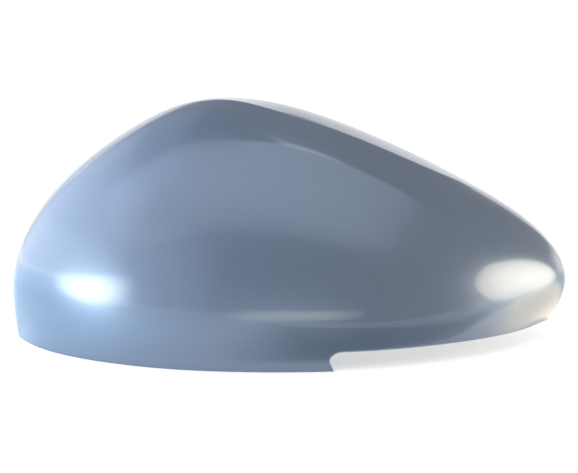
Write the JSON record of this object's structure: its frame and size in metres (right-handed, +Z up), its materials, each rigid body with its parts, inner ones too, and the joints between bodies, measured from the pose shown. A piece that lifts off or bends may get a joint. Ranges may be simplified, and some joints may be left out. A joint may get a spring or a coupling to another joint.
{
  "type": "wing mirror cover",
  "caption": "Thin painted wing mirror cover with creased shoulder, stepped bottom rim, snap hooks and locating pegs.",
  "frame": {"origin": "bottom centre of the bounding box, on the plane of the bottom rim", "axes": "+Z up as fitted on the car, +X to the narrow end beside the door, +Y to the car's rear, where the cover is open; the bulging front faces -Y"},
  "size_m": [0.24, 0.0621, 0.1058],
  "materials": {
    "painted_shell": "satin"
  },
  "bodies": {
    "root": {"mirror_cover": "painted_shell"}
  },
  "joints": []
}
